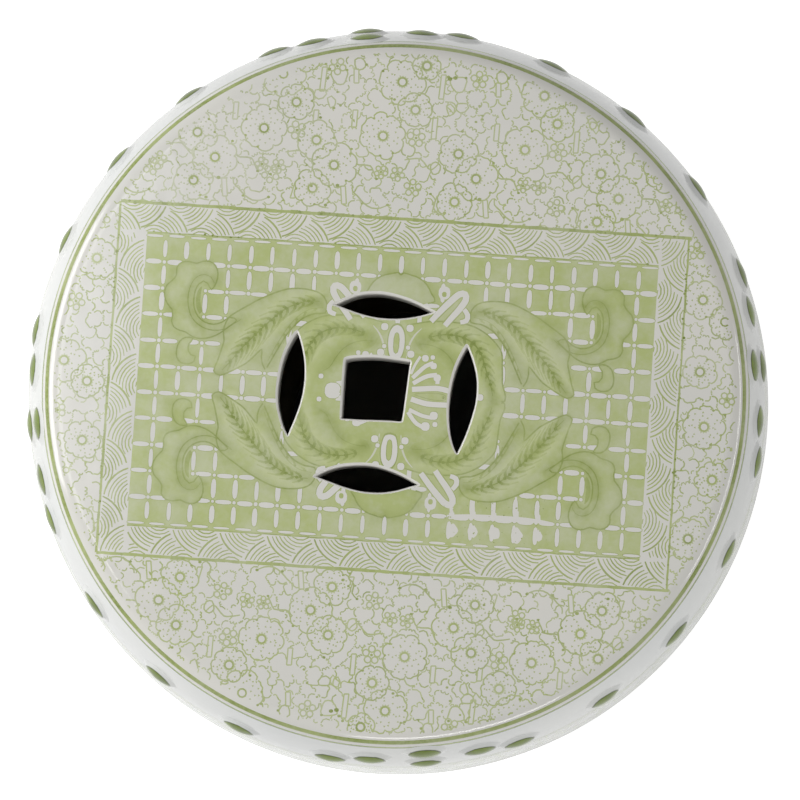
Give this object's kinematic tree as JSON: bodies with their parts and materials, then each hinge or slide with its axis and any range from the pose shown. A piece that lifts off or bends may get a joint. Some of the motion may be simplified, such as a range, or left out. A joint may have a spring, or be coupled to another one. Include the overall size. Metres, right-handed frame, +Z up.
{
  "type": "garden stool",
  "caption": "Hollow drum-shaped garden stool of glazed ceramic, with a coin-shaped piercing in the seat and rows of domed studs round the shoulder and foot.",
  "frame": {"origin": "on the floor, under the middle of the stool", "axes": "+Z up through the seat; +X along the long side of the printed panel on the seat; +Y across it"},
  "size_m": [0.33, 0.3298, 0.4571],
  "materials": {
    "seat_glaze": "gloss white glaze over a fine green print",
    "drum_glaze": "gloss white glaze over a fine green print",
    "stud_glaze": "gloss apple-green glaze, thin on the crowns",
    "foot_clay": "white glaze on the outer edge, bare fired clay beneath"
  },
  "bodies": {
    "root": {"seat_slab": "seat_glaze", "upper_drum": "drum_glaze", "lower_drum": "drum_glaze", "foot_slab": "foot_clay", "upper_stud_diamond_1": "stud_glaze", "upper_stud_diamond_2": "stud_glaze", "upper_stud_diamond_3": "stud_glaze", "upper_stud_diamond_4": "stud_glaze", "upper_stud_run_1": "stud_glaze", "upper_stud_run_2": "stud_glaze", "upper_stud_run_3": "stud_glaze", "upper_stud_run_4": "stud_glaze", "lower_stud_diamond_1": "stud_glaze", "lower_stud_diamond_2": "stud_glaze", "lower_stud_diamond_3": "stud_glaze", "lower_stud_diamond_4": "stud_glaze", "lower_stud_run_1": "stud_glaze", "lower_stud_run_2": "stud_glaze", "lower_stud_run_3": "stud_glaze", "lower_stud_run_4": "stud_glaze"}
  },
  "joints": []
}
